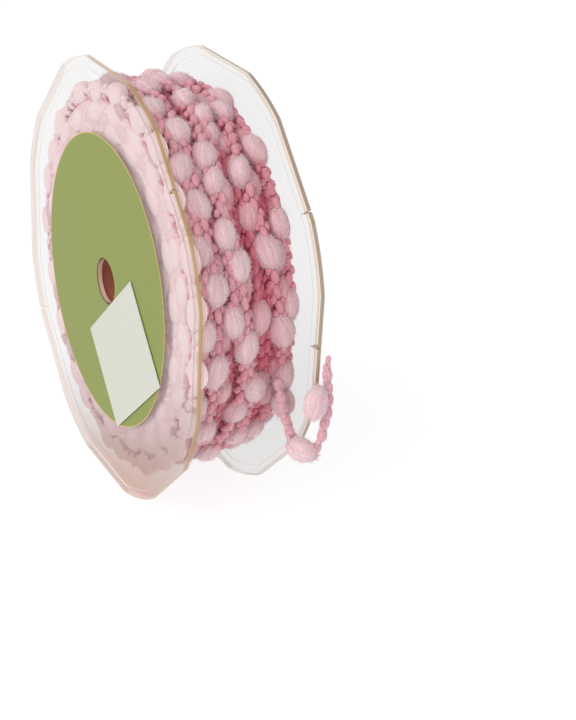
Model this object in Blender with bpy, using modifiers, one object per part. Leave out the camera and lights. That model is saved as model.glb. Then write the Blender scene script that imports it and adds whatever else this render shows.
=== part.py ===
"""Pompom trim wound on a clear spool that stands on its rim, with the loose end caught at the far flange.

Metres, +Z up. The spool's axis runs along X, and the near flange, which carries the paper label, is at -X.
The origin is under the middle of the spool, on the surface that it stands on. Angles round the axis are in
degrees, from +Y towards +Z. Pieces that turn about the axis are modelled about their own Z and then laid
over, so that their Z lies along X.
"""
import math

import bmesh
import bpy
import numpy as np
from mathutils import Matrix, Vector

MM = 0.001
GAP = 0.3 * MM

# Spool
FLAT_RADIUS = 90.0 * MM         # axis to each of the eight flats
ROUND_RADIUS = 92.6 * MM        # axis to the arcs between the flats
FLATS = 8
SPOOL_WIDTH = 53.2 * MM         # over both rims
RIM_THICKNESS = 3.1 * MM
RIM_WIDTH = 4.5 * MM
LIP = 1.1 * MM                  # how far the rim stands proud of the plate's outer face
PLATE_THICKNESS = 1.6 * MM
BORE_RADIUS = 9.4 * MM
HUB_INNER = 10.6 * MM
HUB_OUTER = 12.8 * MM
HUB_SIDES = 40
SLIT_WIDTH = 0.8 * MM
SLIT_DEPTH = 3.4 * MM
SLIT_OVERRUN = 6.0 * MM         # how far the cutters reach past the rim's edge
NEAR_SLITS = (136.0, 330.0)     # angles of the thin slits that catch a loose end
FAR_SLITS = (146.0, 180.0)

# Paper
LABEL_RADIUS = 62.1 * MM
LABEL_HOLE = 9.8 * MM
LABEL_SIDES = 72
LABEL_OFFSET = (2.4 * MM, -1.1 * MM)    # of the disc's middle from the axis, along Y and Z
PAPER = 0.25 * MM
SLIP_LENGTH = 58.5 * MM
SLIP_HEIGHT = 45.0 * MM
SLIP_CENTRE = (-20.6 * MM, -25.4 * MM)
SLIP_ANGLE = 137.4

# Trim
POMPOM_WIDTH = 10.0 * MM
POMPOM_LENGTH = 14.0 * MM
POMPOM_PITCH = 22.5             # degrees between pompoms on an outer turn, about 31 mm of trim
CHAIN_WIDTH = 4.4 * MM
ROLL_RADIUS = 77.0 * MM         # to the bed that the outer pompoms stand on
ROLL_CROWN_X = -6.0 * MM        # the roll is fullest here
ROLL_FALL = 11.0                # fall of its radius with the square of the distance from there, per metre
ROLL_OFF_CENTRE = 1.5 * MM
ROLL_HEAVY_ANGLE = 30.0
ROLL_HALF_WIDTH = 20.5 * MM     # to the bed that the side pompoms stand on
POMPOM_RISE = 6.3 * MM
CHAIN_RISE = 2.6 * MM
BEAD_PITCH = 4.5                # degrees
BEAD_RISE = 0.7 * MM
CHAIN_SPREAD = 1.4              # a strand's mound is this much wider than the chain
ROLL_STEPS = 112
CROWN_ROWS = 15                 # rows of points across the outer turns
CROWN_SHARE = 0.9               # of the roll's width that the outer turns cover
SHOULDER_SHARE = 0.97
NEAR_SHOULDER = 74.0 * MM       # radius where the side turns give way to the outer ones
FAR_SHOULDER = 71.5 * MM
SHOULDER_RISES = (0.2, 0.6)     # shares of the outer and side rises there

# Outer turns: the angle of one pompom, then the place across the spool, in mm, of each pompom round the turn
TURNS = (
    (104.0, (-14.5, -13.8, -16.8, -18.0, -16.8, -18.0, -19.0, -17.0,
             -16.0, -18.0, -19.0, -17.0, -15.0, -16.0, -18.0, -16.0)),
    (92.0, (-8.6, -11.9, -13.7, -15.4, -14.7, -11.4, -10.0, -12.0,
            -11.0, -9.0, -8.0, -10.0, -12.0, -11.0, -9.0, -7.0)),
    (109.5, (-2.5, -5.2, -2.7, -1.4, -1.1, -3.0, -4.0, -3.0,
             -1.0, 0.0, -2.0, -3.0, -1.0, -2.0, -4.0, -6.0)),
    (170.4, (-7.6, 3.6, 8.4, 5.3, 3.0, 4.0, 2.0, 1.0,
             3.0, 2.0, 1.0, 3.0, 1.0, 0.0, -2.0, -6.0)),
    (106.5, (5.2, 5.1, 10.5, 12.8, 14.5, 12.0, 9.0, 7.0,
             8.0, 10.0, 8.0, 7.0, 8.0, 6.0, 7.0, 9.5)),
    (102.0, (15.5, 18.3, 19.8, 18.6, 17.5, 18.0, 17.0, 15.0,
             16.0, 17.0, 18.0, 16.0, 15.0, 17.0, 18.0, 16.0)),
)
# Turns that show at the sides: radius in mm, pompoms round the turn, angle of the first
SIDE_TURNS = (
    (19.5, 4, 10.0),
    (28.0, 6, 52.0),
    (36.5, 7, 20.0),
    (45.0, 9, 31.0),
    (53.5, 11, 8.0),
    (62.0, 12, 23.0),
    (70.5, 14, 2.0),
)
FAR_SIDE_SHIFT = 9.0            # degrees that the far side's turns are ahead of the near side's
SIDE_POMPOM_FILL = 1.5          # side pompoms press flat on the plates: rise before the plate stops it
SIDE_CHAIN_FILL = 0.5

# Loose end: points of its route in mm, Y and Z from the spool's axis
TAIL_ROUTE = (
    (16.2, -76.5, -17.6),
    (17.6, -79.8, -24.5),
    (18.8, -82.0, -31.5),
    (18.6, -85.0, -36.5),
    (18.4, -89.5, -40.8),
    (20.5, -94.0, -43.5),
    (24.8, -96.2, -42.6),
    (28.2, -96.0, -37.0),
    (29.3, -95.4, -30.0),
    (29.5, -94.6, -23.0),
    (29.6, -93.2, -16.0),
    (29.3, -91.0, -9.0),
    (29.15, -89.2, -3.5),
    (29.1, -88.4, 0.5),
)
TAIL_STEP = 4.4 * MM
TAIL_POMPOM_A = 34.3 * MM       # distance along the route of the first pompom's middle
TAIL_REACH = 7.3 * MM           # from there to the chain's ends on both sides
TAIL_POMPOM_B = (22.9, -96.8, -20.6)
TAIL_POMPOM_B_WIDTH = 9.0 * MM
TAIL_POMPOM_B_LEAN = (0.25, 0.1, 1.0)
TAIL_BEND_ROOM = 2.2 * MM       # between that pompom's tips and the chain, whose ends tilt round the bend

AXIS_HEIGHT = FLAT_RADIUS
HALF_WIDTH = SPOOL_WIDTH / 2
PLATE_OUTER = HALF_WIDTH - LIP
PLATE_INNER = PLATE_OUTER - PLATE_THICKNESS
SIDE_LIMIT = PLATE_INNER - GAP
FAR_TURN = (math.radians(90), 0.0, math.radians(90))
NEAR_TURN = (math.radians(90), 0.0, math.radians(-90))


def clear_scene():
    for obj in list(bpy.data.objects):
        bpy.data.objects.remove(obj, do_unlink=True)


def make_collection(name):
    collection = bpy.data.collections.new(name)
    bpy.context.scene.collection.children.link(collection)
    return collection


def material(name, colour, roughness, alpha=1.0):
    mat = bpy.data.materials.new(name)
    mat.use_nodes = True
    shader = mat.node_tree.nodes["Principled BSDF"]
    shader.inputs["Base Color"].default_value = (*colour, 1.0)
    shader.inputs["Roughness"].default_value = roughness
    shader.inputs["Metallic"].default_value = 0.0
    shader.inputs["Alpha"].default_value = alpha
    return mat


def add_object(name, mesh, mat, collection, location=(0.0, 0.0, 0.0), turn=(0.0, 0.0, 0.0)):
    obj = bpy.data.objects.new(name, mesh)
    obj.location = location
    obj.rotation_euler = turn
    if mat:
        mesh.materials.append(mat)
    collection.objects.link(obj)
    return obj


def circle(radius, count=HUB_SIDES, centre=(0.0, 0.0)):
    steps = [2 * math.pi * i / count for i in range(count)]
    return [(centre[0] + radius * math.cos(a), centre[1] + radius * math.sin(a)) for a in steps]


def flange_outline(inset, arc_steps=5):
    """Eight flats joined by arcs of one circle, each moved inwards by the inset."""
    flat = FLAT_RADIUS - inset
    round_radius = ROUND_RADIUS - inset
    half_flat = math.acos(flat / round_radius)
    arc = 2 * math.pi / FLATS - 2 * half_flat
    points = []
    for side in range(FLATS):
        start = 2 * math.pi * side / FLATS + half_flat
        for i in range(arc_steps + 1):
            angle = start + arc * i / arc_steps
            points.append((round_radius * math.cos(angle), round_radius * math.sin(angle)))
    return points


def mesh_from_curve(curve, merge=0.00001):
    """The evaluated mesh of a curve, with the caps welded to the walls."""
    obj = bpy.data.objects.new("guide", curve)
    bpy.context.scene.collection.objects.link(obj)
    graph = bpy.context.evaluated_depsgraph_get()
    mesh = bpy.data.meshes.new_from_object(obj.evaluated_get(graph))
    bpy.data.objects.remove(obj)
    bm = bmesh.new()
    bm.from_mesh(mesh)
    bmesh.ops.remove_doubles(bm, verts=bm.verts, dist=merge)
    bm.to_mesh(mesh)
    bm.free()
    return mesh


def flat_mesh(name, outlines, low, high):
    """A flat piece with the given outlines, the later ones cut out of the first, from low to high along Z."""
    curve = bpy.data.curves.new(name, "CURVE")
    curve.dimensions = "2D"
    curve.fill_mode = "BOTH"
    curve.extrude = (high - low) / 2
    for outline in outlines:
        spline = curve.splines.new("POLY")
        spline.points.add(len(outline) - 1)
        for point, (x, y) in zip(spline.points, outline):
            point.co = (x, y, 0.0, 1.0)
        spline.use_cyclic_u = True
    mesh = mesh_from_curve(curve)
    mesh.transform(Matrix.Translation((0.0, 0.0, (high + low) / 2)))
    mesh.name = name
    return mesh


def add_boolean(obj, other, operation):
    modifier = obj.modifiers.new(f"{operation.lower()}_{other.name}", "BOOLEAN")
    modifier.operation = operation
    modifier.solver = "EXACT"
    modifier.object = other
    other.hide_render = True
    other.display_type = "WIRE"


def slit_mesh(name, angles):
    """Thin radial blocks that cut the slits into the rim from its edge."""
    bm = bmesh.new()
    length = SLIT_DEPTH + SLIT_OVERRUN
    side = 360 / FLATS
    for degrees in angles:
        angle = math.radians(degrees)
        from_flat = math.radians(degrees - side * round(degrees / side))
        edge = min(FLAT_RADIUS / math.cos(from_flat), ROUND_RADIUS)
        reach = edge - SLIT_DEPTH + length / 2
        place = Matrix.Rotation(angle, 4, "Z") @ Matrix.Translation((reach, 0.0, HALF_WIDTH))
        size = Matrix.Diagonal((length, SLIT_WIDTH, 4 * RIM_THICKNESS, 1.0))
        bmesh.ops.create_cube(bm, size=1.0, matrix=place @ size)
    mesh = bpy.data.meshes.new(name)
    bm.to_mesh(mesh)
    bm.free()
    return mesh


def add_flange(name, turn, slit_angles, mat, parts, cutters):
    """A plate with a bore, the thick rim joined to it, and the slits cut through the rim."""
    place = (0.0, 0.0, AXIS_HEIGHT)
    plate_outline = flange_outline(RIM_WIDTH / 2)
    plate = flat_mesh(name, (plate_outline, circle(BORE_RADIUS)), PLATE_INNER, PLATE_OUTER)
    rim_outlines = (flange_outline(0.0), flange_outline(RIM_WIDTH))
    rim = flat_mesh(f"{name}_rim", rim_outlines, HALF_WIDTH - RIM_THICKNESS, HALF_WIDTH)
    flange = add_object(name, plate, mat, parts, place, turn)
    add_boolean(flange, add_object(f"{name}_rim", rim, None, cutters, place, turn), "UNION")
    slits = slit_mesh(f"{name}_slits", slit_angles)
    add_boolean(flange, add_object(f"{name}_slits", slits, None, cutters, place, turn), "DIFFERENCE")
    return flange


def add_hub(mat, parts):
    """A turned tube between the flanges: the profile goes down its outer side, then up its bore."""
    half = PLATE_INNER - GAP
    corners = ((HUB_OUTER, half), (HUB_OUTER, -half), (HUB_INNER, -half), (HUB_INNER, half))
    edges = [(i, (i + 1) % len(corners)) for i in range(len(corners))]
    mesh = bpy.data.meshes.new("hub_tube")
    mesh.from_pydata([(r, 0.0, z) for r, z in corners], edges, [])
    hub = add_object("hub_tube", mesh, mat, parts, (0.0, 0.0, AXIS_HEIGHT), FAR_TURN)
    screw = hub.modifiers.new("turn", "SCREW")
    screw.axis = "Z"
    screw.steps = HUB_SIDES
    screw.render_steps = HUB_SIDES
    screw.use_merge_vertices = True
    screw.merge_threshold = 0.00001
    return hub


def add_label(mat, parts):
    low = PLATE_OUTER + GAP
    centre = (-LABEL_OFFSET[0], LABEL_OFFSET[1])
    outlines = (circle(LABEL_RADIUS, LABEL_SIDES, centre), circle(LABEL_HOLE))
    mesh = flat_mesh("round_label", outlines, low, low + PAPER)
    return add_object("round_label", mesh, mat, parts, (0.0, 0.0, AXIS_HEIGHT), NEAR_TURN)


def add_slip(mat, parts):
    low = PLATE_OUTER + GAP + PAPER + GAP
    angle = math.radians(SLIP_ANGLE)
    along = Vector((math.cos(angle), math.sin(angle))) * SLIP_LENGTH / 2
    across = Vector((-math.sin(angle), math.cos(angle))) * SLIP_HEIGHT / 2
    middle = Vector(SLIP_CENTRE)
    corners = [middle + a * along + b * across for a, b in ((1, 1), (-1, 1), (-1, -1), (1, -1))]
    outline = [(-c.x, c.y) for c in corners]
    mesh = flat_mesh("label_slip", (outline,), low, low + PAPER)
    return add_object("label_slip", mesh, mat, parts, (0.0, 0.0, AXIS_HEIGHT), NEAR_TURN)


def dome(across, along, width, length):
    """Height, from 0 to 1, of an oval mound of the given width and length."""
    inside = 1.0 - (2 * across / width) ** 2 - (2 * along / length) ** 2
    return np.sqrt(np.clip(inside, 0.0, None))


def nearest(angle, pitch):
    """Angle to the nearest of marks that repeat at the pitch."""
    return (angle + pitch / 2) % pitch - pitch / 2


def bed_radius(x, angle):
    """Radius of the bed under the outer pompoms: fullest near the middle, and a little off centre."""
    lean = ROLL_OFF_CENTRE * np.cos(np.radians(angle - ROLL_HEAVY_ANGLE))
    return ROLL_RADIUS - ROLL_FALL * (x - ROLL_CROWN_X) ** 2 + lean


def outer_rise(x, angle):
    """How far the outer turns stand above their bed at a place across the spool and an angle."""
    rise = np.zeros(np.broadcast(x, angle).shape)
    for first, places in TURNS:
        marks = first + POMPOM_PITCH * np.arange(len(places))
        order = np.argsort(marks % 360)
        track = np.interp(angle, (marks % 360)[order], np.array(places)[order] * MM, period=360)
        along = np.radians(nearest(angle - first, POMPOM_PITCH)) * ROLL_RADIUS
        pompom = POMPOM_RISE * dome(x - track, along, POMPOM_WIDTH, POMPOM_LENGTH)
        bead = BEAD_RISE * np.cos(np.radians(360 * angle / BEAD_PITCH))
        chain = (CHAIN_RISE + bead) * dome(x - track, 0.0, CHAIN_SPREAD * CHAIN_WIDTH, 1.0)
        rise = np.maximum(rise, np.maximum(pompom, chain))
    return rise


def side_rise(radius, angle, shift):
    """How far the side turns stand out of their bed towards the flange."""
    rise = np.zeros(np.broadcast(radius, angle).shape)
    limit = SIDE_LIMIT - ROLL_HALF_WIDTH
    for turn_radius, count, first in SIDE_TURNS:
        along = np.radians(nearest(angle - first - shift, 360 / count)) * turn_radius * MM
        across = radius - turn_radius * MM
        pompom = SIDE_POMPOM_FILL * limit * dome(across, along, POMPOM_WIDTH, POMPOM_LENGTH)
        chain = SIDE_CHAIN_FILL * limit * dome(across, 0.0, CHAIN_SPREAD * CHAIN_WIDTH, 1.0)
        rise = np.maximum(rise, np.maximum(pompom, chain))
    return np.minimum(rise, limit)


def roll_stations():
    """The roll's section as a closed loop, from the near side's bore out, over the outer turns and back in.

    Rows hold x, radius, share of the outer rise, share of the side rise and the side that it faces. A radius
    of None stands for the bed's own radius there.
    """
    bore = HUB_OUTER + GAP
    turns = [r * MM for r, _, _ in SIDE_TURNS]
    between = [(a + b) / 2 for a, b in zip(turns[3:], turns[4:])]
    radii = sorted(turns + between)
    half = ROLL_HALF_WIDTH
    rows = [(-half, bore, 0.0, 0.0, -1)]
    rows += [(-half, r, 0.0, 1.0, -1) for r in radii]
    rows += [(-half * SHOULDER_SHARE, NEAR_SHOULDER, *SHOULDER_RISES, -1)]
    rows += [(x * half, None, 1.0, 0.0, 1) for x in np.linspace(-CROWN_SHARE, CROWN_SHARE, CROWN_ROWS)]
    rows += [(half * SHOULDER_SHARE, FAR_SHOULDER, *SHOULDER_RISES, 1)]
    rows += [(half, r, 0.0, 1.0, 1) for r in reversed(radii)]
    rows += [(half, bore, 0.0, 0.0, 1)]
    return rows


def add_roll(mat, parts):
    """One closed grid: the section carried round the axis, with every point raised by its turn."""
    angles = 360 * np.arange(ROLL_STEPS) / ROLL_STEPS
    rings = []
    for x, radius, outer_share, side_share, side in roll_stations():
        base = bed_radius(x, angles) if radius is None else np.full(ROLL_STEPS, radius)
        out = base + outer_share * outer_rise(x, angles)
        shift = 0.0 if side < 0 else FAR_SIDE_SHIFT
        wide = x + side * side_share * side_rise(base, angles, shift)
        radians = np.radians(angles)
        rings.append(np.stack([out * np.cos(radians), out * np.sin(radians), wide], 1))
    points = np.concatenate(rings)
    count = len(rings)
    faces = []
    for i in range(count):
        for j in range(ROLL_STEPS):
            k = (j + 1) % ROLL_STEPS
            n = (i + 1) % count
            faces.append((i * ROLL_STEPS + j, i * ROLL_STEPS + k, n * ROLL_STEPS + k, n * ROLL_STEPS + j))
    mesh = bpy.data.meshes.new("trim_roll")
    mesh.from_pydata(points.tolist(), [], faces)
    bm = bmesh.new()
    bm.from_mesh(mesh)
    bmesh.ops.triangulate(bm, faces=bm.faces)
    bmesh.ops.recalc_face_normals(bm, faces=bm.faces)
    bm.to_mesh(mesh)
    bm.free()
    mesh.shade_smooth()
    return add_object("trim_roll", mesh, mat, parts, (0.0, 0.0, AXIS_HEIGHT), FAR_TURN)


def smooth_route(points, pieces=12):
    """A smooth curve through the points: each stretch is a cubic that takes its neighbours' slopes."""
    ends = [2 * points[0] - points[1], *points, 2 * points[-1] - points[-2]]
    curve = []
    for a, b, c, d in zip(ends, ends[1:], ends[2:], ends[3:]):
        for i in range(pieces):
            t = i / pieces
            square = (2 * a - 5 * b + 4 * c - d) * t**2
            cube = (3 * b - a - 3 * c + d) * t**3
            curve.append(0.5 * (2 * b + (c - a) * t + square + cube))
    curve.append(points[-1])
    return curve


class Route:
    """A smooth line that can be read at a distance from its start."""

    def __init__(self, points):
        self.points = smooth_route(points)
        steps = [(b - a).length for a, b in zip(self.points, self.points[1:])]
        self.marks = np.concatenate([[0.0], np.cumsum(steps)])
        self.length = float(self.marks[-1])

    def at(self, distance):
        return Vector([float(np.interp(distance, self.marks, [p[i] for p in self.points])) for i in range(3)])


def add_tube(name, route, start, end, mat, parts):
    """A round tube along the route from one distance to another."""
    count = max(2, round((end - start) / TAIL_STEP)) + 1
    curve = bpy.data.curves.new(name, "CURVE")
    curve.dimensions = "3D"
    curve.bevel_depth = CHAIN_WIDTH / 2
    curve.bevel_resolution = 2
    curve.use_fill_caps = True
    spline = curve.splines.new("POLY")
    spline.points.add(count - 1)
    for i, point in enumerate(spline.points):
        point.co = (*route.at(start + (end - start) * i / (count - 1)), 1.0)
    return add_object(name, curve, mat, parts)


def add_pompom(name, centre, direction, width, length, mat, parts):
    """An oval puff with its long axis along the direction."""
    turn = direction.to_track_quat("Z", "Y").to_matrix().to_4x4()
    size = Matrix.Diagonal((width / 2, width / 2, length / 2, 1.0))
    place = Matrix.Translation(centre) @ turn @ size
    bm = bmesh.new()
    bmesh.ops.create_uvsphere(bm, u_segments=14, v_segments=9, radius=1.0, matrix=place)
    mesh = bpy.data.meshes.new(name)
    bm.to_mesh(mesh)
    bm.free()
    mesh.shade_smooth()
    return add_object(name, mesh, mat, parts)


def place_from_axis(point):
    """A point given in mm from the spool's axis, in metres from the origin."""
    return Vector((point[0] * MM, point[1] * MM, point[2] * MM + AXIS_HEIGHT))


def add_tail(mat, parts):
    """The loose end: two lengths of chain with a pompom between them, and one beside the second length."""
    route = Route([place_from_axis(p) for p in TAIL_ROUTE])
    start, end = route.at(TAIL_POMPOM_A - TAIL_REACH), route.at(TAIL_POMPOM_A + TAIL_REACH)
    chord = end - start
    length = chord.length - 2 * TAIL_BEND_ROOM
    add_tube("tail_cord_a", route, 0.0, TAIL_POMPOM_A - TAIL_REACH, mat, parts)
    add_pompom("tail_pompom_a", (start + end) / 2, chord.normalized(), POMPOM_WIDTH, length, mat, parts)
    add_tube("tail_cord_b", route, TAIL_POMPOM_A + TAIL_REACH, route.length, mat, parts)
    beside = place_from_axis(TAIL_POMPOM_B)
    lean = Vector(TAIL_POMPOM_B_LEAN)
    add_pompom("tail_pompom_b", beside, lean, TAIL_POMPOM_B_WIDTH, POMPOM_LENGTH, mat, parts)


def main():
    clear_scene()
    parts = make_collection("pompom_trim_spool")
    cutters = make_collection("cutters")
    clear = material("clear_plastic", (0.86, 0.84, 0.80), 0.08, 0.35)
    hub = material("hub_plastic", (0.60, 0.45, 0.40), 0.25, 0.6)
    paper = material("green_paper", (0.33, 0.39, 0.12), 0.7)
    slip = material("white_paper", (0.80, 0.80, 0.75), 0.6)
    yarn = material("pink_yarn", (0.80, 0.42, 0.50), 0.95)
    add_flange("near_flange", NEAR_TURN, [180.0 - a for a in NEAR_SLITS], clear, parts, cutters)
    add_flange("far_flange", FAR_TURN, FAR_SLITS, clear, parts, cutters)
    add_hub(hub, parts)
    add_label(paper, parts)
    add_slip(slip, parts)
    add_roll(yarn, parts)
    add_tail(yarn, parts)


if __name__ == "__main__":
    main()
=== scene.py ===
"""Pompom trim wound on a clear spool: the finishes, the turns of trim, the loose end, the light and the camera.

Laid out as an add-on for Blender 4.5 and run as a script. Metres, +Z up. The spool's axis runs along X, and the
near flange, which carries the paper, is at -X. Angles round the axis go from +Y towards +Z.
"""

import bpy
import numpy as np
from mathutils import Matrix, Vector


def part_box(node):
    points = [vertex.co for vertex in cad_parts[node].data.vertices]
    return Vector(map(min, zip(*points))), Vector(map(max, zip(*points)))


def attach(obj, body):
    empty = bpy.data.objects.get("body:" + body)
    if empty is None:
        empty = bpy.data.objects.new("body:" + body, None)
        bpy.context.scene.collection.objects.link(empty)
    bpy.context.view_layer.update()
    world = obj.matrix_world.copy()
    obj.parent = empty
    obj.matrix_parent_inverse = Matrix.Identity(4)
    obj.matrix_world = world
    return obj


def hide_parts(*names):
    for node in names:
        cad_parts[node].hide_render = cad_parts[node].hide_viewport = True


bl_info = {
    "name": "Pompom Trim Spool",
    "version": (1, 0, 0),
    "blender": (4, 5, 0),
    "location": "View3D > Sidebar > Trim Spool",
    "description": "Winds pompom trim on a clear spool and sets up its light and camera",
    "category": "Add Mesh",
}

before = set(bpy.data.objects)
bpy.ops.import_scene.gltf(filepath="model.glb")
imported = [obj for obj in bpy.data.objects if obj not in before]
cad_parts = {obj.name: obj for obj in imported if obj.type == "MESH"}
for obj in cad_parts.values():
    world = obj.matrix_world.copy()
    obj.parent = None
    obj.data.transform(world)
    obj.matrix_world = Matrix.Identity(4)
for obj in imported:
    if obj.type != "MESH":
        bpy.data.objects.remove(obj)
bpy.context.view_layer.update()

MM = 0.001
NEAR_LOW, NEAR_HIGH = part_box("near_flange")
HUB_LOW, HUB_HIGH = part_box("hub_tube")
LABEL_LOW, LABEL_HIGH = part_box("round_label")
SLIP_LOW, SLIP_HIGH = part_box("label_slip")

AXIS_HEIGHT = (HUB_LOW[2] + HUB_HIGH[2]) / 2
HALF_WIDTH = -NEAR_LOW[0]               # axis middle to the rims' outer faces
HUB_OUTER = (HUB_HIGH[2] - HUB_LOW[2]) / 2
HUB_WALL = 2.2 * MM
GAP = 0.3 * MM                          # left between the plates, the tube and the trim
PLATE_INNER = HUB_HIGH[0] + GAP
PLATE_OUTER = PLATE_INNER + 1.6 * MM
PRESS_LIMIT = PLATE_INNER - GAP         # how far out the trim may press against a plate

FLAT_RADIUS = NEAR_HIGH[2] - AXIS_HEIGHT
ROUND_RADIUS = 92.6 * MM
FLATS = 8
RIM_WIDTH = 4.5 * MM
RIM_INNER = HALF_WIDTH - 3.1 * MM
RIM_ROUND = 0.5 * MM
BORE_RADIUS = 9.4 * MM
SLIT_WIDTH = 0.5 * MM
SLIT_DEPTH = 3.4 * MM
PLATE_RINGS = 9                         # rings of points on a plate's face
PLATE, RIM, EDGE, LINE, HAZE, BORE = range(6)    # the finishes of a flange's faces
NEAR_SLITS = (136.0, 330.0)
FAR_SLITS = (146.0, 180.0)
WARM_ANGLE = 250.0                      # where the near flange is painted most with a warm tint of the trim's light, and how far round it fades
WARM_SPREAD = 56.0
WARM_INNER = 58.0 * MM                  # radius where the tint starts, and how far out it is full
WARM_DEPTH = 28.0 * MM
FADE_BELOW = (80.0, 8.0)                # where a rim's edge turns from its painted shade to pale: the angle, and over how many degrees
FADE_ABOVE = (236.0, 14.0)
SHARP_ANGLE = np.radians(35)

LABEL_RADIUS = (LABEL_HIGH[1] - LABEL_LOW[1]) / 2
LABEL_CENTRE = ((LABEL_HIGH[1] + LABEL_LOW[1]) / 2, (LABEL_HIGH[2] + LABEL_LOW[2]) / 2)
LABEL_HOLE = 9.8 * MM
SLIP_LENGTH = 58.5 * MM
SLIP_HEIGHT = 45.0 * MM
SLIP_CENTRE = ((SLIP_HIGH[1] + SLIP_LOW[1]) / 2, (SLIP_HIGH[2] + SLIP_LOW[2]) / 2)
SLIP_ANGLE = 137.4

# The wound form: the bed that the outer turns' pompoms sit in
ROLL_RADIUS = 78.0 * MM
ROLL_CROWN_X = -6.0 * MM
ROLL_FALL = 5.0
ROLL_OFF_CENTRE = 1.5 * MM
ROLL_HEAVY_ANGLE = 30.0
POMPOM_PITCH = 24.0
POMPOMS_A_TURN = 15
POMPOM_SEAT = 1.7 * MM                  # from the outer turns' bed out to a pompom's middle, and to a bead's
BEAD_SEAT = 2.6 * MM
FILLER_SEAT = 1.6 * MM
POMPOM_TAPER = 1.1                      # how a pompom narrows to its tips: 1 makes an even oval
OUTER_MESH = (14, 40)                   # rings along a pompom and points round it, by where it lies
UNDER_MESH = (10, 24)
SIDE_MESH = (9, 16)
TAIL_MESH = (15, 40)
BEAD_MESH = (4, 8)
SIDE_BEAD_MESH = (3, 7)
CHAIN_SHADE = 1.1                       # how far chains, pompoms and the side turns take the crevice colour, which is painted shade
POMPOM_SHADE = 0.8
SIDE_SHADE = 0.15
BED_DEPTH = 3.6 * MM                    # from the outer turns' own bed down to the beaded one under them
BED_HALF_WIDTH = 22.1 * MM
BED_BEAD = 3.4 * MM                     # a bead of the bed: its width, its height on top and at the sides
BED_BEAD_TOP = 1.5 * MM
BED_BEAD_SIDE = 0.9 * MM

# Outer turns: the angle of one pompom, then the place across the spool, in mm, of each pompom round the turn
TURNS = (
    (102.5, (-13.8, -14.7, -15.9, -17.5, -18.5, -18.0, -16.5,
             -15.5, -17.0, -18.5, -17.5, -15.5, -16.0, -17.5, -16.0)),
    (114.0, (-9.8, -12.8, -12.3, -12.6, -12.0, -10.5, -11.0,
             -10.0, -8.5, -8.0, -10.0, -12.0, -10.5, -9.0, -8.0)),
    (108.0, (4.5, -3.6, -2.0, 0.2, 0.3, -2.5, -4.0,
             -3.0, -1.0, 0.0, -2.0, -3.0, -1.0, -2.5, 1.0)),
    (171.3, (-5.8, 5.5, 6.5, 4.0, 3.0, 4.0, 2.5,
             1.5, 3.5, 2.0, 1.5, 3.5, 2.0, -3.5, -5.0)),
    (105.5, (14.0, 8.6, 12.3, 16.3, 19.6, 14.0, 10.0,
             8.0, 9.0, 11.0, 9.0, 7.5, 8.5, 8.0, 11.0)),
    (122.0, (19.8, 20.3, 20.2, 19.8, 14.5, 17.0, 18.5,
             17.0, 15.5, 17.0, 18.0, 16.5, 16.0, 17.5, 19.0)),
)
LOOSE_POMPOM = (19.5, -74.7, -30.0)     # one that sags where the loose end leaves the roll: as TAIL_ROUTE
# Turns just under them: angle of the first pompom, place across the spool and depth under the others, in mm
UNDER_TURNS = (
    (95.0, -18.5, 3.4),
    (108.0, -11.5, 3.0),
    (99.0, -5.0, 3.4),
    (112.0, 1.5, 2.8),
    (97.0, 8.5, 3.2),
    (106.0, 14.0, 3.0),
    (93.0, 19.0, 3.0),
)
# Strands without pompoms between these: place across the spool, depth and sway across it, in mm
FILLER_TURNS = (
    (-20.0, 1.6, 0.4),
    (-16.8, 3.4, 1.0),
    (-13.6, 2.4, 1.2),
    (-10.4, 3.6, 1.4),
    (-7.2, 2.6, 1.2),
    (-4.0, 3.8, 1.4),
    (-0.8, 2.6, 1.2),
    (2.4, 3.6, 1.4),
    (5.6, 2.4, 1.2),
    (8.8, 3.4, 1.4),
    (12.0, 2.4, 1.2),
    (15.2, 3.0, 1.2),
    (18.0, 2.0, 0.8),
    (20.6, 1.6, 0.3),
)
# Turns that show at the sides: radius in mm, pompoms round the turn, angle of the first
SIDE_TURNS = (
    (19.5, 4, 10.0),
    (28.0, 6, 52.0),
    (36.5, 7, 20.0),
    (45.0, 9, 31.0),
    (53.5, 14, 8.0),
    (62.0, 17, 23.0),
    (70.5, 20, 2.0),
    (78.5, 23, 11.0),
)
FAR_SIDE_SHIFT = 9.0
SIDE_POMPOM_X = 21.2 * MM
SIDE_CHAIN_X = 21.8 * MM

# Loose end: points of its route in mm, Y and Z from the spool's axis
TAIL_ROUTE = (
    (15.5, -76.8, -18.8),
    (16.1, -79.3, -25.2),
    (17.0, -81.3, -32.1),
    (17.3, -84.4, -36.7),
    (17.4, -88.4, -39.8),
    (19.2, -92.5, -42.1),
    (23.2, -94.8, -41.8),
    (25.8, -95.0, -37.7),
    (27.7, -94.5, -30.1),
    (28.5, -94.0, -23.0),
    (28.9, -93.0, -16.3),
    (29.0, -91.4, -10.1),
    (29.3, -90.7, -5.9),
    (29.2, -91.0, -4.0),
)
TAIL_BEADS = (5.1 * MM, 4.3 * MM, 6.0 * MM, 2.4 * MM, 1.3 * MM)    # as the sizes of bead_chain
TAIL_CORE = 1.1 * MM                    # radius of the thread that the beads sit on
BARE_ANGLE = 4.2                        # no bead shows so near a pompom's middle: degrees, and mm at the sides
BARE_LENGTH = 5.0
TAIL_INSIDE = (22.0, -84.0, -20.0)      # a point that the loose end curls round
TAIL_POMPOM_A = 29.6 * MM               # how far along it the lower pompom sits
TAIL_POMPOM_B = (22.0, -95.9, -20.0)
TAIL_POMPOM_B_LEAN = (0.25, 0.1, 1.0)

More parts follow.
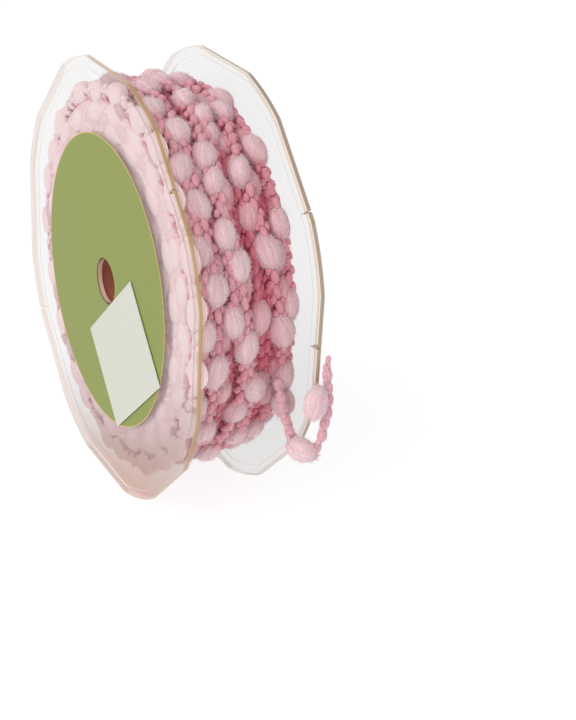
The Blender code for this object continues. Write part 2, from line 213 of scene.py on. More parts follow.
# Camera, fitted to the flanges and the label in the photograph
CAMERA_PLACE = (-243.79 * MM, -534.50 * MM, 341.39 * MM)
CAMERA_RIGHT = (0.87848, -0.47480, 0.05320)
CAMERA_UP = (0.16919, 0.41329, 0.89474)
CAMERA_BACK = (-0.44681, -0.77702, 0.44340)
CAMERA_LENS = 93.77
SENSOR_WIDTH = 36.0
SWEEP_RADIUS = 5.0                      # the floor's flat part, its bend up into the wall, and the wall's top
SWEEP_BEND = 1.5
SWEEP_HEIGHT = 4.5
# Yarns: the setting that holds the colour, then around, along, relief, streaks and glow of yarn_material; the
# glow is painted light
YARNS = {
    "brushed": ("light", 34.0, 1.5, 0.6 * MM),
    "twisted": ("chain", 14.0, 5.0, 0.25 * MM),
    # Yarn against a plate has a stronger glow: painted light that lifts the side turns seen through the plates.
    "pressed": ("pressed", 26.0, 1.3, 0.4 * MM, 0.1, 0.45),
}
# Lights: the name, the place and the width in metres; the stage's settings hold the power of each
LIGHTS = (
    ("key", (-2.7, -0.35, 2.0), 3.0),
    ("top", (-0.6, -0.4, 2.6), 1.6),
    ("front", (-0.5, -2.5, 0.6), 1.8),
)


def linear(code):
    """The linear colour of an sRGB hex value."""
    parts = [int(code[i:i + 2], 16) / 255 for i in (1, 3, 5)]
    return tuple(p / 12.92 if p <= 0.04045 else ((p + 0.055) / 1.055) ** 2.4 for p in parts)


def feed(tree, target, inputs):
    """Sets inputs of a node; each is a value or the output that feeds it."""
    for key, value in inputs.items():
        if isinstance(value, bpy.types.NodeSocket):
            tree.links.new(value, target.inputs[key])
        else:
            target.inputs[key].default_value = value


def node(tree, kind, inputs=None, **settings):
    """Adds a node with its settings and inputs."""
    new = tree.nodes.new(kind)
    for key, value in settings.items():
        setattr(new, key, value)
    feed(tree, new, inputs or {})
    return new


def new_material(name, **sockets):
    """A material whose shader has the given constants; returns it with its tree and shader."""
    mat = bpy.data.materials.new(name)
    mat.use_nodes = True
    shader = mat.node_tree.nodes["Principled BSDF"]
    feed(mat.node_tree, shader, {key.replace("_", " "): value for key, value in sockets.items()})
    return mat, mat.node_tree, shader


def unit(vectors):
    return vectors / np.linalg.norm(vectors, axis=-1, keepdims=True)


def from_axis(points):
    """Points given in mm, with Y and Z from the spool's axis."""
    return np.array(points) * MM + np.array([0.0, 0.0, AXIS_HEIGHT])


def path_marks(path):
    """How far along a path each of its points lies."""
    return np.concatenate([[0.0], np.cumsum(np.linalg.norm(np.diff(path, axis=0), axis=1))])


def nearest(angle, marks):
    """Degrees from each angle to the nearest of the marks."""
    return np.abs((angle[:, None] - marks[None, :] + 180) % 360 - 180).min(axis=1)


def grid_quads(rows, cols, closed=True):
    """Corners of the faces of a grid that closes round its columns and, where closed is set, its rows."""
    i, j = np.meshgrid(np.arange(rows if closed else rows - 1), np.arange(cols), indexing="ij")
    n, k = (i + 1) % rows, (j + 1) % cols
    return np.stack([i * cols + j, i * cols + k, n * cols + k, n * cols + j], -1).reshape(-1, 4)


def add_mesh(name, points, corners, sizes, uv=None, kinds=None, smooth=True):
    """A mesh object: points, the faces' corners end to end, corners per face, UV per corner, slot per face."""
    mesh = bpy.data.meshes.new(name)
    mesh.vertices.add(len(points))
    mesh.vertices.foreach_set("co", np.asarray(points, np.float32).ravel())
    mesh.loops.add(len(corners))
    mesh.loops.foreach_set("vertex_index", np.asarray(corners, np.int32))
    mesh.polygons.add(len(sizes))
    starts = np.concatenate([[0], np.cumsum(sizes)[:-1]])
    mesh.polygons.foreach_set("loop_start", starts.astype(np.int32))
    mesh.polygons.foreach_set("use_smooth", np.full(len(sizes), smooth))
    if kinds is not None:
        mesh.polygons.foreach_set("material_index", np.asarray(kinds, np.int32))
    mesh.update(calc_edges=True)
    if uv is not None:
        layer = mesh.uv_layers.new(name="UVMap")
        layer.data.foreach_set("uv", np.asarray(uv, np.float32).ravel())
    obj = bpy.data.objects.new(name, mesh)
    bpy.context.scene.collection.objects.link(obj)
    return obj


def add_grid(name, points, quads, *more, smooth=True):
    """A mesh object of a grid's points and quads; more holds the UVs and the slot per face."""
    return add_mesh(name, points.reshape(-1, 3), quads.ravel(), np.full(len(quads), 4), *more, smooth=smooth)


def add_attribute(obj, name, values):
    """Stores a value at each point. The painted shade runs from 0 at the roll's outside to 1 in its crevices.
    """
    layer = obj.data.attributes.new(name, "FLOAT", "POINT")
    layer.data.foreach_set("value", np.asarray(values, np.float32).ravel())


def puff_topology(count, rings, around):
    """Corners, sizes and UVs of closed balls: rings of points between two tips, for each of count balls."""
    quads = grid_quads(rings, around, closed=False)
    i, j = np.meshgrid(np.arange(rings - 1), np.arange(around), indexing="ij")
    step = 1.0 / (rings + 1)
    u0, u1 = j / around, (j + 1) / around
    v0, v1 = (i + 1) * step, (i + 2) * step
    quad_uv = np.stack([u0, v0, u1, v0, u1, v1, u0, v1], -1).reshape(-1, 4, 2)
    j = np.arange(around)
    k = (j + 1) % around
    first, last = rings * around, rings * around + 1
    top = (rings - 1) * around
    start = np.stack([k, j, np.full(around, first)], -1)
    end = np.stack([top + j, top + k, np.full(around, last)], -1)
    u0, u1 = j / around, (j + 1) / around
    middle = (u0 + u1) / 2
    low, high = np.full(around, step), np.full(around, 1 - step)
    start_uv = np.stack([u1, low, u0, low, middle, np.zeros(around)], -1).reshape(-1, 3, 2)
    end_uv = np.stack([u0, high, u1, high, middle, np.ones(around)], -1).reshape(-1, 3, 2)
    one = np.concatenate([quads.ravel(), start.ravel(), end.ravel()])
    sizes = np.concatenate([np.full(len(quads), 4), np.full(2 * around, 3)])
    uv = np.concatenate([quad_uv.reshape(-1, 2), start_uv.reshape(-1, 2), end_uv.reshape(-1, 2)])
    points = rings * around + 2
    corners = (one[None, :] + points * np.arange(count)[:, None]).ravel()
    return corners, np.tile(sizes, count), uv


def puff_batch(centres, along, out, size, mesh, groove=0.0, point=1.0, seed=1):
    """A batch of ovals: their points, (count, rings * around + 2, 3), and the rings and around of mesh.

    With t the angle from one tip to the other and u the angle round the long axis, a point is
    centre - along * length/2 * cos t + s * (across * width/2 * cos u + out * height/2 * sin u),
    where s is sin t to the power point, times 1 plus groove times the sum of three waves of u, each the size of
    a sine, which makes round ridges with sharp creases between, and a slow wave that turns along the oval.
    size holds width, height and length.
    """
    rings, around = mesh
    count = len(centres)
    random = np.random.default_rng(seed)
    t = np.pi * np.arange(1, rings + 1) / (rings + 1)
    u = 2 * np.pi * np.arange(around) / around - np.pi / 2
    phases = random.uniform(0, 2 * np.pi, (count, 3, 1))
    waves = np.array([4, 7, 11])[None, :, None]
    shares = np.array([0.4, 0.35, 0.25])[None, :, None]
    ridges = 2 * np.abs(np.sin(waves * u[None, None, :] / 2 + phases)) - 1
    lobes = 1 + groove * np.sum(shares * ridges, axis=1)
    slow = np.cos(2 * u[None, None, :] + 1.5 * t[None, :, None] + phases[:, :1]) * groove * 1.3
    swell = np.sin(t)[None, :, None] ** point * (lobes[:, None, :] + slow)
    across = unit(np.cross(along, out))
    rise = np.cross(across, along)
    width, height, length = (np.broadcast_to(s, (count,))[:, None, None, None] / 2 for s in size)
    flat = across[:, None, None, :] * width * np.cos(u)[None, None, :, None]
    flat = flat + rise[:, None, None, :] * height * np.sin(u)[None, None, :, None]
    run = along[:, None, None, :] * length * -np.cos(t)[None, :, None, None]
    body = centres[:, None, None, :] + run + swell[..., None] * flat
    tips = centres[:, None, :] + along[:, None, :] * length[:, 0] * np.array([-1.0, 1.0])[None, :, None]
    return np.concatenate([body.reshape(count, -1, 3), tips], axis=1), rings, around


def puff_part(points, rings, around, shift=0.0):
    """Points, corners, sizes and UVs of one batch, with the UVs moved by shift."""
    corners, sizes, uv = puff_topology(len(points), rings, around)
    uv = np.broadcast_to(uv, (len(points), *uv.shape)) + shift
    return points.reshape(-1, 3), corners, sizes, uv.reshape(-1, 2)


def join(parts):
    """Several parts, each with points, corners, sizes and UVs, as one."""
    points, corners, sizes, uvs = zip(*parts)
    starts = np.cumsum([0, *map(len, points[:-1])])
    corners = [c + start for c, start in zip(corners, starts)]
    return tuple(np.concatenate(lists) for lists in (points, corners, sizes, uvs))


def add_puffs(name, batches, shape=None):
    """One mesh of many ovals, each with its own place in the yarn's pattern; returns it and its points."""
    random = np.random.default_rng(len(batches))
    points, *more = join([puff_part(*b, random.uniform(0, 40, (len(b[0]), 1, 2))) for b in batches])
    if shape:
        points = shape(points)
    return add_mesh(name, points, *more), points


def fibre_points(batch, count, seed, reach=1.0):
    """Points of short loose fibres on pompoms, four each: three round the foot, inside the pompom, and the tip.

    A fibre stands on one of the pompom's own surface points. It leans from straight out towards one of the
    pompom's tips, by a seeded share, and has a seeded length that reach scales.
    """
    random = np.random.default_rng(seed)
    pompoms, rings, around = batch
    grid = pompoms[:, :-2].reshape(-1, rings, around, 3)
    which = np.repeat(np.arange(len(pompoms)), count)
    number = len(which)
    row, col = random.integers(0, rings - 1, number), random.integers(0, around, number)
    part = random.random((number, 1))
    foot = grid[which, row, col] * (1 - part) + grid[which, row + 1, col] * part
    along = unit(pompoms[which, -1] - pompoms[which, -2])
    away = foot - pompoms.mean(axis=1)[which]
    away = unit(away - 0.5 * along * np.sum(away * along, axis=1, keepdims=True))
    lean = random.uniform(-2.2, 2.2, (number, 1))
    way = unit(away + along * lean + random.normal(0.0, 0.3, (number, 3)))
    length = random.uniform(1.2, 2.8, (number, 1)) * MM * reach
    side = unit(np.cross(way, along + 0.3 * away))
    rise = np.cross(side, way)
    turn = 2 * np.pi * np.arange(3) / 3
    ring = side[:, None, :] * np.cos(turn)[None, :, None] + rise[:, None, :] * np.sin(turn)[None, :, None]
    body = (foot - 0.1 * way * length)[:, None, :] + 0.085 * MM * ring
    return np.concatenate([body, (foot + 0.8 * way * length)[:, None, :]], axis=1)


def add_needles(name, needles, shape=None):
    """One mesh of many needles, each a triangle at the foot and three faces up to the tip."""
    points = needles.reshape(-1, 3)
    faces = np.array([[0, 2, 1], [0, 1, 3], [1, 2, 3], [2, 0, 3]])
    corners = (faces.ravel()[None, :] + 4 * np.arange(len(needles))[:, None]).ravel()
    return add_mesh(name, shape(points) if shape else points, corners, np.full(4 * len(needles), 3))


def press(points):
    """Yarn near a plate flattens against it: past a margin, distance turns into an ever slower creep."""
    margin = 1.2 * MM
    x = points[..., 0]
    over = np.maximum(np.abs(x) - (PRESS_LIMIT - margin), 0.0)
    creep = margin * (1 - np.exp(-over / margin))
    pressed = points.copy()
    pressed[..., 0] = np.sign(x) * (np.abs(x) - over + creep)
    return pressed


def on_roll(x, angle, radius):
    """The point at a place across the spool, an angle in degrees and a radius."""
    a = np.radians(angle)
    x, a, radius = np.broadcast_arrays(x, a, radius)
    return np.stack([x, radius * np.cos(a), AXIS_HEIGHT + radius * np.sin(a)], -1)


def outward(angle):
    a = np.radians(angle)
    return np.stack([np.zeros_like(a), np.cos(a), np.sin(a)], -1)


def bed_radius(x, angle):
    """Radius of the bed under the outer pompoms: fullest near the middle, and a little off centre."""
    lean = ROLL_OFF_CENTRE * np.cos(np.radians(angle - ROLL_HEAVY_ANGLE))
    return ROLL_RADIUS - ROLL_FALL * (x - ROLL_CROWN_X) ** 2 + lean


def painted_shade_of(points):
    """Painted shade: how deep a point lies under the roll's outer form, 0 to 1 over 9 mm, and more towards the
    far side, which lies in shade.
    """
    y, z = points[:, 1], points[:, 2] - AXIS_HEIGHT
    radius = np.hypot(y, z)
    angle = np.degrees(np.arctan2(z, y))
    top = bed_radius(points[:, 0], angle) + 5.0 * MM
    from_top = (top - radius) / (9 * MM)
    from_side = (PRESS_LIMIT - np.abs(points[:, 0])) / (7 * MM)
    far = np.clip(points[:, 0] / PRESS_LIMIT, 0.0, 1.0)
    return np.clip(np.minimum(from_top, from_side), 0.0, 1.0) + 0.16 * far


def bead_chain(path, out, skip, sizes, seed):
    """Beads of the chain along a path: main ovals, with smaller ones beside the gaps between them.

    path and out are points and outward directions close together along the strand, and skip tells at which
    of them no bead shows. sizes holds the spacing, a main bead's width and length, a small bead's width and how
    far it sits to the side. Returns the batches.
    """
    spacing, width, length, side_width, offset = sizes
    random = np.random.default_rng(seed)
    marks = path_marks(path)
    tangents = unit(np.gradient(path, axis=0))
    count = int(marks[-1] / spacing)
    batches = []
    for shift, side in ((0.0, 0.0), (0.42, 1.0), (0.58, -1.0)):
        at = (np.arange(count) + shift + random.uniform(-0.06, 0.06, count)) * spacing
        at = at[at < marks[-1]]
        row = np.searchsorted(marks, at).clip(0, len(path) - 1)
        row = row[~skip[row]]
        along, up = tangents[row], out[row]
        across = unit(np.cross(along, up))
        wobble = random.normal(0.0, 0.16 * MM, (len(row), 3))
        centres = path[row] + side * across * offset + wobble
        turn = random.normal(0.0, 0.1, (len(row), 3))
        along = unit(along + turn + side * 0.35 * across)
        if side:
            centres = centres - up * 0.35 * MM
            size = (side_width, side_width, side_width * 1.5)
            batches.append(puff_batch(centres, along, up, size, SIDE_BEAD_MESH, seed=seed + 3))
        else:
            size = (width, width, length)
            batches.append(puff_batch(centres, along, up, size, BEAD_MESH, seed=seed + 5))
    return batches


def bead_sizes(trim):
    return trim.bead_spacing, trim.bead_width, trim.bead_length, trim.side_bead, trim.bead_offset


def turn_track(angle, marks, places):
    """Place across the spool along a turn, smoothly from pompom to pompom."""
    order = np.argsort(marks % 360)
    at, values = (marks % 360)[order], places[order]
    offsets = np.array([-0.3, 0.0, 0.3]) * POMPOM_PITCH
    return np.mean([np.interp(angle + o, at, values, period=360) for o in offsets], axis=0)


class TrimSettings(bpy.types.PropertyGroup):
    pompom_width: bpy.props.FloatProperty(
        name="Pompom width", description="Across a pompom", default=9.8 * MM, unit="LENGTH")
    pompom_length: bpy.props.FloatProperty(
        name="Pompom length", description="From tip to tip", default=14.6 * MM, unit="LENGTH")
    groove: bpy.props.FloatProperty(
        name="Grooves", description="Depth of the grooves as a share of the width", default=0.055)
    bead_spacing: bpy.props.FloatProperty(
        name="Bead spacing", description="Between the chain's main beads", default=5.9 * MM, unit="LENGTH")
    bead_length: bpy.props.FloatProperty(
        name="Bead length", description="Of a main bead", default=6.3 * MM, unit="LENGTH")
    bead_width: bpy.props.FloatProperty(
        name="Bead width", description="Of a main bead", default=3.4 * MM, unit="LENGTH")
    side_bead: bpy.props.FloatProperty(
        name="Side bead", description="Width of the beads beside the chain", default=2.7 * MM, unit="LENGTH")
    bead_offset: bpy.props.FloatProperty(
        name="Side bead offset", description="From the chain's middle", default=1.8 * MM, unit="LENGTH")
    light: bpy.props.FloatVectorProperty(
        name="Pompom colour", description="Brushed yarn", subtype="COLOR", default=linear("#D2BCBF"))
    # Painted shade: yarn in the roll's crevices and grooves is drawn in this colour.
    deep: bpy.props.FloatVectorProperty(
        name="Crevice colour", description="Yarn deep in the roll", subtype="COLOR", default=linear("#B04055"))
    # Pressed yarn is drawn with a stronger glow, which is painted light.
    pressed: bpy.props.FloatVectorProperty(
        name="Pressed colour", description="Yarn against a plate", subtype="COLOR", default=linear("#CEBABB"))
    fibre: bpy.props.FloatVectorProperty(
        name="Fibre colour", description="Loose fibres", subtype="COLOR", default=linear("#F0DADD"))
    fibres: bpy.props.IntProperty(
        name="Fibres", description="Loose fibres on each outer pompom", default=480, min=0)
    chain: bpy.props.FloatVectorProperty(
        name="Chain colour", description="Tight yarn of the chain", subtype="COLOR", default=linear("#CFA4AB"))


class SpoolSettings(bpy.types.PropertyGroup):
    plate: bpy.props.FloatVectorProperty(
        name="Plate colour", description="Clear plastic's haze", subtype="COLOR", default=linear("#6C6864"))
    edge: bpy.props.FloatVectorProperty(
        name="Edge colour", description="Plastic through its edge", subtype="COLOR", default=linear("#A98862"))
    green: bpy.props.FloatVectorProperty(
        name="Label colour", description="Paper disc", subtype="COLOR", default=linear("#727B34"))
    slip: bpy.props.FloatVectorProperty(
        name="Slip colour", description="Paper slip", subtype="COLOR", default=linear("#B1B1A6"))


class StageSettings(bpy.types.PropertyGroup):
    floor: bpy.props.FloatVectorProperty(
        name="Floor colour", description="Pale floor", subtype="COLOR", default=linear("#8C8C8C"))
    key: bpy.props.FloatProperty(name="Key light", description="Power in watts", default=101.0)
    top: bpy.props.FloatProperty(name="Top light", description="Power in watts", default=9.0)
    front: bpy.props.FloatProperty(name="Front light", description="Power in watts", default=7.0)
    fill: bpy.props.FloatProperty(name="Sky", description="Strength of the even light", default=0.31)
    glow: bpy.props.FloatProperty(name="Floor glow", description="Light from under the floor", default=0.8)


def yarn_material(name, light, deep, around, along, relief, streaks=0.3, painted_glow=0.06):
    """Brushed polyester yarn: matt fibres that run from tip to tip, with a soft pale bloom at the outline.

    streaks is how much of the crevice colour lies in streaks between the fibres, painted shade in their
    grooves. The glow setting is painted light: an even glow in the yarn's own colour, standing in for light
    scattered through the fluff, though the yarn is no lamp.
    """
    # The emission is painted light: the yarn glows evenly in its own colour.
    mat, tree, shader = new_material(
        name, Roughness=0.85, IOR=1.45, Specular_IOR_Level=0.2, Emission_Strength=painted_glow, Sheen_Weight=0.35,
        Sheen_Roughness=0.5, Sheen_Tint=(*linear("#FBE4EA"), 1.0), Subsurface_Weight=0.4, Subsurface_Scale=1.0,
        Subsurface_Radius=(2.4 * MM, 1.1 * MM, 1.2 * MM))
    uv = node(tree, "ShaderNodeUVMap", uv_map="UVMap")
    run = node(tree, "ShaderNodeMapping", {"Vector": uv.outputs["UV"], "Scale": (around, along, 1.0)})
    fibres = node(tree, "ShaderNodeTexNoise",
                  {"Vector": run.outputs["Vector"], "Scale": 1.0, "Detail": 4.0, "Roughness": 0.7})
    place = node(tree, "ShaderNodeTexCoord")
    fluff = node(tree, "ShaderNodeTexNoise",
                 {"Vector": place.outputs["Object"], "Scale": 900.0, "Detail": 3.0, "Roughness": 0.6})
    # Painted shade: the crevice colour is mixed in by the attribute that runs from the roll's outside to its
    # crevices, and by the streaks.
    depth = node(tree, "ShaderNodeAttribute", attribute_name="depth")
    streak = node(tree, "ShaderNodeMapRange", {
        "Value": fibres.outputs["Fac"], "From Min": 0.38, "From Max": 0.6, "To Min": streaks, "To Max": 0.0})
    shade_share = node(tree, "ShaderNodeMath", {0: depth.outputs["Fac"], 1: streak.outputs["Result"]}, operation="ADD",
               use_clamp=True)
    colour = node(tree, "ShaderNodeMix",
                  {"Factor": shade_share.outputs["Value"], "A": (*light, 1.0), "B": (*deep, 1.0)}, data_type="RGBA")
    height = node(tree, "ShaderNodeMath", {0: fibres.outputs["Fac"], 1: fluff.outputs["Fac"]}, operation="ADD")
    bump = node(tree, "ShaderNodeBump",
                {"Height": height.outputs["Value"], "Distance": relief, "Strength": 0.7})
    feed(tree, shader, {"Base Color": colour.outputs["Result"], "Emission Color": colour.outputs["Result"],
                        "Normal": bump.outputs["Normal"]})
    return mat


def fibre_material(name, colour):
    """Single loose fibres: drawn paler than the yarn, painted light that stands in for the light shining
    through them.
    """
    mat, tree, shader = new_material(name, Roughness=0.8, IOR=1.45, Specular_IOR_Level=0.1, Sheen_Weight=0.5,
                                     Sheen_Roughness=0.4, Sheen_Tint=(*linear("#FBE4EA"), 1.0))
    place = node(tree, "ShaderNodeTexCoord")
    lot = node(tree, "ShaderNodeTexNoise", {"Vector": place.outputs["Object"], "Scale": 400.0, "Detail": 2.0})
    shade = node(tree, "ShaderNodeMapRange", {"Value": lot.outputs["Fac"], "To Min": 0.9, "To Max": 1.1})
    tint = node(tree, "ShaderNodeMix", {"Factor": 1.0, "A": (*colour, 1.0), "B": shade.outputs["Result"]},
                data_type="RGBA", blend_type="MULTIPLY")
    feed(tree, shader, {"Base Color": tint.outputs["Result"]})
    return mat


def plastic_material(name, colour, alpha, roughness=0.06, painted_tint=None, dense=0.6, attribute="warmth"):
    """Clear moulded polystyrene: glossy, and hazed enough to pale what lies behind it.

    Where the attribute rises, it takes the tint colour and the other density. This is painted light: on the
    near flange a warm tint where light from the trim gathers in the plastic, and on a rim's edge the pale
    colour where its painted shade ends.
    """
    mat, tree, shader = new_material(name, Base_Color=(*colour, 1.0), Roughness=roughness, IOR=1.59,
                                     Alpha=alpha)
    if painted_tint:
        warmth = node(tree, "ShaderNodeAttribute", attribute_name=attribute)
        tint = node(tree, "ShaderNodeMix",
                    {"Factor": warmth.outputs["Fac"], "A": (*colour, 1.0), "B": (*painted_tint, 1.0)}, data_type="RGBA")
        density = node(tree, "ShaderNodeMapRange",
                       {"Value": warmth.outputs["Fac"], "To Min": alpha, "To Max": dense})
        feed(tree, shader, {"Base Color": tint.outputs["Result"], "Alpha": density.outputs["Result"]})
    place = node(tree, "ShaderNodeTexCoord")
    flow = node(tree, "ShaderNodeTexNoise", {"Vector": place.outputs["Object"], "Scale": 60.0, "Detail": 1.0})
    bump = node(tree, "ShaderNodeBump",
                {"Height": flow.outputs["Fac"], "Distance": 0.05 * MM, "Strength": 0.3})
    feed(tree, shader, {"Normal": bump.outputs["Normal"]})
    return mat


def paper_material(name, colour, grain=0.6 * MM):
    """Coated label paper: matt, with a faint fibre grain, drawn coarser than real so that it shows."""
    mat, tree, shader = new_material(name, Roughness=0.55, IOR=1.45)
    place = node(tree, "ShaderNodeTexCoord")
    fibre = node(tree, "ShaderNodeTexNoise",
                 {"Vector": place.outputs["Object"], "Scale": 1 / grain, "Detail": 4.0, "Roughness": 0.7})
    shade = node(tree, "ShaderNodeMapRange", {"Value": fibre.outputs["Fac"], "To Min": 0.9, "To Max": 1.08})
    tint = node(tree, "ShaderNodeMix", {"Factor": 1.0, "A": (*colour, 1.0), "B": shade.outputs["Result"]},
                data_type="RGBA", blend_type="MULTIPLY")
    bump = node(tree, "ShaderNodeBump",
                {"Height": fibre.outputs["Fac"], "Distance": 0.04 * MM, "Strength": 0.4})
    feed(tree, shader, {"Base Color": tint.outputs["Result"], "Normal": bump.outputs["Normal"]})
    return mat


def yarn(trim, kind):
    """The material of one kind of yarn, made the first time it is asked for."""
    name = f"{kind}_polyester_yarn"
    colour, *values = YARNS[kind]
    return bpy.data.materials.get(name) or yarn_material(name, getattr(trim, colour), trim.deep, *values)


def loose_fibre(trim):
    name = "loose_polyester_fibre"
    return bpy.data.materials.get(name) or fibre_material(name, trim.fibre)


def finish_piece(obj, slot, mats, *replaced):
    """Gives a piece its materials and rides it on the one body; slot is not used."""
    for mat in mats:
        obj.data.materials.append(mat)
    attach(obj, "root")
    if replaced:
        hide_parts(*replaced)


class TRIMSPOOL_OT_tail(bpy.types.Operator):
    """Adds the loose end: a chain with a pompom on it and one beside it"""

    bl_idname = "trimspool.add_tail"
    bl_label = "Loose end"

    def execute(self, context):
        trim = context.scene.trim_settings
        path = smooth_route(from_axis(TAIL_ROUTE))
        along = unit(np.gradient(path, axis=0))
        out = unit(path - from_axis(TAIL_INSIDE))
        out = unit(out - along * np.sum(out * along, axis=1, keepdims=True))
        batches = bead_chain(path, out, np.zeros(len(path), bool), TAIL_BEADS, 40)
        core = tube(path, out, TAIL_CORE, 7)
        chain = add_mesh("tail_chain", *join([core, *(puff_part(*b) for b in batches)]))
        add_attribute(chain, "depth", np.zeros(len(chain.data.vertices)))
        finish_piece(chain, "pink_yarn", [yarn(trim, "twisted")], "tail_cord_a", "tail_cord_b")
        marks = path_marks(path)
        row = int(np.searchsorted(marks, TAIL_POMPOM_A))
        at = slice(row, row + 1)
        width, long = trim.pompom_width, trim.pompom_length
        low = puff_batch(path[at], along[at], out[at], (width, width * 0.95, long * 0.93), TAIL_MESH,
                         trim.groove, POMPOM_TAPER, seed=61)
        lean = unit(np.array([TAIL_POMPOM_B_LEAN]))
        high = puff_batch(from_axis([TAIL_POMPOM_B]), lean, np.array([[0.0, -1.0, 0.0]]),
                          (width * 0.92, width * 0.92, long), TAIL_MESH, trim.groove, POMPOM_TAPER, seed=62)
        fibres = [fibre_points(low, trim.fibres, 63), fibre_points(high, trim.fibres, 64)]
        fibres += [fibre_points(batch, 24, 65, 0.5) for batch in batches]
        fuzz = add_needles("tail_fibres", np.concatenate(fibres))
        finish_piece(fuzz, "pink_yarn", [loose_fibre(trim)], "tail_pompom_a", "tail_pompom_b")
        for name, batch, solid in (("tail_puff_low", low, "tail_pompom_a"),
                                   ("tail_puff_high", high, "tail_pompom_b")):
            puff, made = add_puffs(name, [batch])
            add_attribute(puff, "depth", np.zeros(len(made)))
            finish_piece(puff, "pink_yarn", [yarn(trim, "brushed")], solid)
        return {"FINISHED"}


def smooth_route(points, pieces=8):
    """A cubic for each stretch between the points, whose slopes at its ends come from their neighbours."""
    ends = np.concatenate([2 * points[:1] - points[1:2], points, 2 * points[-1:] - points[-2:-1]])
    a, b, c, d = (ends[i:len(ends) - 3 + i][:, None, :] for i in range(4))
    t = (np.arange(pieces) / pieces)[None, :, None]
    curve = b + 0.5 * ((c - a) * t + (2 * a - 5 * b + 4 * c - d) * t**2 + (3 * b - a - 3 * c + d) * t**3)
    return np.concatenate([curve.reshape(-1, 3), points[-1:]])


def tube(path, out, radius, around):
    """A round profile carried along a path, closed at both ends with a point."""
    along = unit(np.gradient(path, axis=0))
    across = unit(np.cross(along, out))
    u = 2 * np.pi * np.arange(around) / around
    ring = across[:, None, :] * np.cos(u)[None, :, None] + out[:, None, :] * np.sin(u)[None, :, None]
    walls = path[:, None, :] + radius * ring
    tips = np.stack([path[0] - along[0] * radius, path[-1] + along[-1] * radius])
    points = np.concatenate([walls.reshape(-1, 3), tips])
    corners, sizes, uv = puff_topology(1, len(path), around)
    return points, corners, sizes, uv * np.array([1.0, len(path)])


